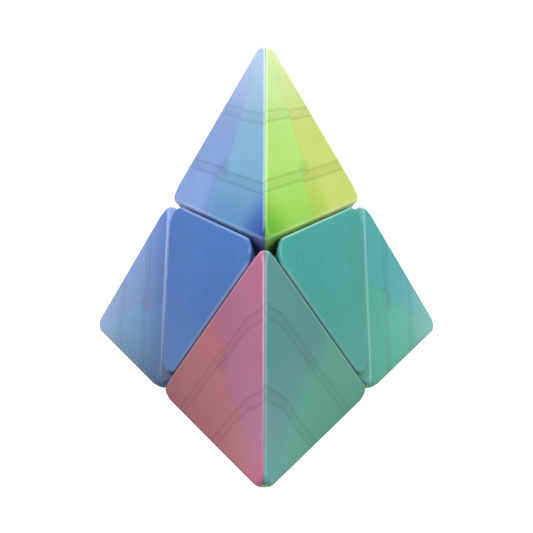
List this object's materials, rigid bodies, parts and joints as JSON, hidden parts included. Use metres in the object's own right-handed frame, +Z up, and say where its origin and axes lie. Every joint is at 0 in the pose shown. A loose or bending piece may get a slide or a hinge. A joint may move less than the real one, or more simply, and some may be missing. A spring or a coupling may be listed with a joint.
{
  "type": "pyramid twisty puzzle",
  "caption": "Tetrahedral two-layer twisty puzzle in translucent coloured plastic, with corner and centre pieces that turn about a hidden sprung core.",
  "frame": {"origin": "middle of the flat base face", "axes": "+Z up to the top corner, -Y towards the near corner, +X to the right"},
  "size_m": [0.098, 0.0856, 0.0804],
  "materials": {
    "blue_plastic": "glossy translucent, milky",
    "teal_plastic": "glossy translucent, milky",
    "lime_plastic": "glossy translucent, milky",
    "pink_plastic": "glossy translucent, milky",
    "milky_plastic": "satin, natural white",
    "steel": "plain"
  },
  "bodies": {
    "rear_half": {"core": "milky_plastic", "axis_screws": "steel", "axis_springs": "steel", "axis_washers": "steel", "rear_hub": "milky_plastic", "upper_right_hub": "milky_plastic", "lower_left_hub": "milky_plastic", "upper_left_hub": "milky_plastic", "lower_right_hub": "milky_plastic", "inner_edge_top": "milky_plastic", "inner_edge_right": "milky_plastic", "inner_edge_left": "milky_plastic", "inner_edge_bottom": "milky_plastic", "inner_edge_back_right": "milky_plastic", "inner_edge_back_left": "milky_plastic", "inner_edge_under_left": "milky_plastic", "inner_edge_under_right": "milky_plastic", "right_shell_back": "blue_plastic", "right_shell_front": "teal_plastic", "right_shell_under": "lime_plastic", "right_foot": "milky_plastic", "left_shell_under": "teal_plastic", "left_shell_front": "blue_plastic", "left_shell_back": "pink_plastic", "left_foot": "milky_plastic", "back_cap": "pink_plastic", "back_body": "pink_plastic", "back_foot": "milky_plastic", "under_cap": "lime_plastic", "under_body": "lime_plastic", "under_foot": "milky_plastic"},
    "front_half": {"front_hub": "milky_plastic", "inner_edge_front_top_right": "milky_plastic", "inner_edge_front_top_left": "milky_plastic", "inner_edge_front_low_left": "milky_plastic", "inner_edge_front_low_right": "milky_plastic", "top_shell_right": "lime_plastic", "top_shell_back": "pink_plastic", "top_shell_left": "blue_plastic", "top_foot": "milky_plastic", "near_shell_left": "pink_plastic", "near_shell_under": "lime_plastic", "near_shell_right": "teal_plastic", "near_foot": "milky_plastic", "front_right_cap": "teal_plastic", "front_right_body": "teal_plastic", "front_right_foot": "milky_plastic", "front_left_cap": "blue_plastic", "front_left_body": "blue_plastic", "front_left_foot": "milky_plastic"}
  },
  "joints": [
    {"name": "front_turn", "type": "hinge", "parent": "rear_half", "child": "front_half", "pos_m": [0, 0, 0.02087], "axis": [0, -0.8165, 0.5774], "continuous": true}
  ]
}
